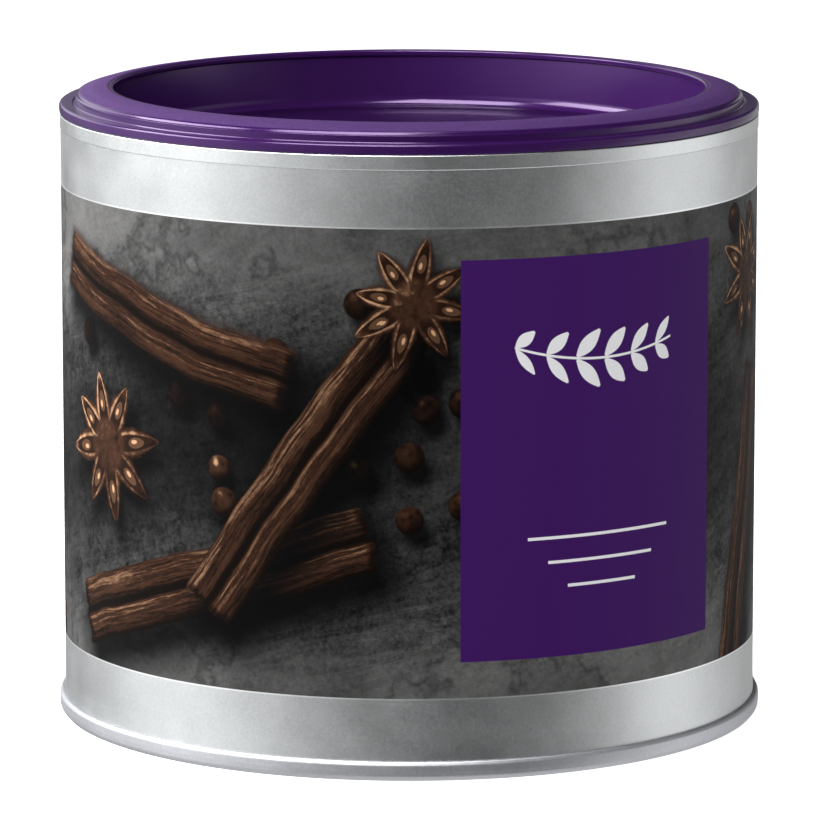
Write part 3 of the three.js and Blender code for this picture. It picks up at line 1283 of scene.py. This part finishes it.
class TIN_OT_stage(bpy.types.Operator):
    """Set the camera, the studio lights and the pale floor"""

    bl_idname = "spice_tin.stage"
    bl_label = "Set stage"

    def execute(self, context):
        """Build from the scene's settings."""
        scene = context.scene
        stage = scene.spice_tin.stage
        scene.view_settings.view_transform = "Standard"

        camera = bpy.data.objects.new("camera", bpy.data.cameras.new("camera"))
        scene.collection.objects.link(camera)
        camera.data.lens = stage.lens
        camera.data.sensor_width = 36.0
        camera.data.clip_start = 0.01
        camera.data.clip_end = 50.0
        camera.data.shift_x = stage.shift_x
        camera.location = (0.0, -stage.camera_distance, stage.camera_height)
        camera.rotation_euler = (math.pi / 2 - stage.camera_pitch, 0.0, 0.0)
        scene.camera = camera

        for name, layout in SOFTBOXES.items():
            softbox(name, *layout)

        half = 6.0  # half the floor's width
        mesh = bpy.data.meshes.new("floor")
        edge = [(-half, -half, 0.0), (half, -half, 0.0), (half, half, 0.0), (-half, half, 0.0)]
        mesh.from_pydata(edge, [], [(0, 1, 2, 3)])
        floor = bpy.data.objects.new("floor", mesh)
        scene.collection.objects.link(floor)
        floor.data.materials.append(self.floor_material(stage))
        floor.visible_diffuse = False
        floor.visible_glossy = False
        floor.visible_shadow = False
        self.light_world(scene)
        return {"FINISHED"}

    @staticmethod
    def floor_material(stage):
        """Plain pale floor, lit from beneath as a backlit table is."""
        material, _, shader, _ = new_material("pale_floor")
        shader.inputs["Base Color"].default_value = opaque(stage.floor_colour)
        shader.inputs["Roughness"].default_value = 0.9
        shader.inputs["Emission Color"].default_value = (1.0, 1.0, 1.0, 1.0)
        shader.inputs["Emission Strength"].default_value = 0.85
        return material

    @staticmethod
    def light_world(scene):
        """A round studio: bright walls at both sides, a dark ceiling, and white where it is seen."""
        world = bpy.data.worlds.new("studio")
        world.use_nodes = True
        world.node_tree.nodes.clear()
        graph = Graph(world.node_tree)
        x, y, z = graph.parts(graph.value("ShaderNodeTexCoord", output="Generated"))
        turn = graph.math("ARCTAN2", x, -y) / (2 * math.pi) + 0.5
        rings = []
        for walls in (SURROUND, UPPER):
            stops = [(azimuth / 360 + 0.5, (light, light, light)) for azimuth, light in walls.items()]
            rings.append(graph.ramp(turn, stops))
            rings[-1].socket.node.color_ramp.interpolation = "EASE"

        # The upper walls start just over eye level, the ceiling closes over them, and below is the table.
        light = graph.paint(z.rise(0.02, 0.2), *rings)
        light = graph.paint(z.rise(0.3, 0.6), light, (CEILING, CEILING, CEILING))
        light = graph.paint(z.fall(-0.75, -0.45), light, (BOUNCE, BOUNCE, BOUNCE))
        around = graph.node("ShaderNodeBackground", {"Color": light, "Strength": 1.0})
        seen = graph.node("ShaderNodeBackground", {"Color": (1.0, 1.0, 1.0, 1.0), "Strength": 1.0})
        path = graph.node("ShaderNodeLightPath")
        wires = {0: path.outputs["Is Camera Ray"], 1: around.outputs[0], 2: seen.outputs[0]}
        mixed = graph.node("ShaderNodeMixShader", wires)
        graph.node("ShaderNodeOutputWorld", {"Surface": mixed.outputs[0]})
        scene.world = world


class TIN_PT_panel(bpy.types.Panel):
    """Settings and steps of the spice tin"""

    bl_idname = "TIN_PT_panel"
    bl_label = "Spice tin"
    bl_space_type = "VIEW_3D"
    bl_region_type = "UI"
    bl_category = "Spice tin"

    def draw(self, context):
        """Show every setting by its group, and a button for each step."""
        layout = self.layout
        tin = context.scene.spice_tin
        for title in TIN_PG_all.__annotations__:
            group = getattr(tin, title)
            box = layout.box()
            box.label(text=title.capitalize())
            for name in group.__annotations__:
                box.prop(group, name)
        for operator in OPERATORS:
            layout.operator(operator.bl_idname)


OPERATORS = (TIN_OT_body, TIN_OT_rim, TIN_OT_base, TIN_OT_lid, TIN_OT_stage)
GROUPS = (TIN_PG_body, TIN_PG_lid, TIN_PG_print, TIN_PG_stage, TIN_PG_all)
CLASSES = (*GROUPS, *OPERATORS, TIN_PT_panel)


def register():
    """Register every class, and put the settings on the scene."""
    for item in CLASSES:
        bpy.utils.register_class(item)
    bpy.types.Scene.spice_tin = bpy.props.PointerProperty(type=TIN_PG_all)


def unregister():
    """Undo what register did."""
    del bpy.types.Scene.spice_tin
    for item in reversed(CLASSES):
        bpy.utils.unregister_class(item)


def main():
    register()
    bpy.ops.spice_tin.body()
    bpy.ops.spice_tin.rim()
    bpy.ops.spice_tin.base()
    bpy.ops.spice_tin.lid()
    bpy.ops.spice_tin.stage()


if __name__ == "__main__":
    main()
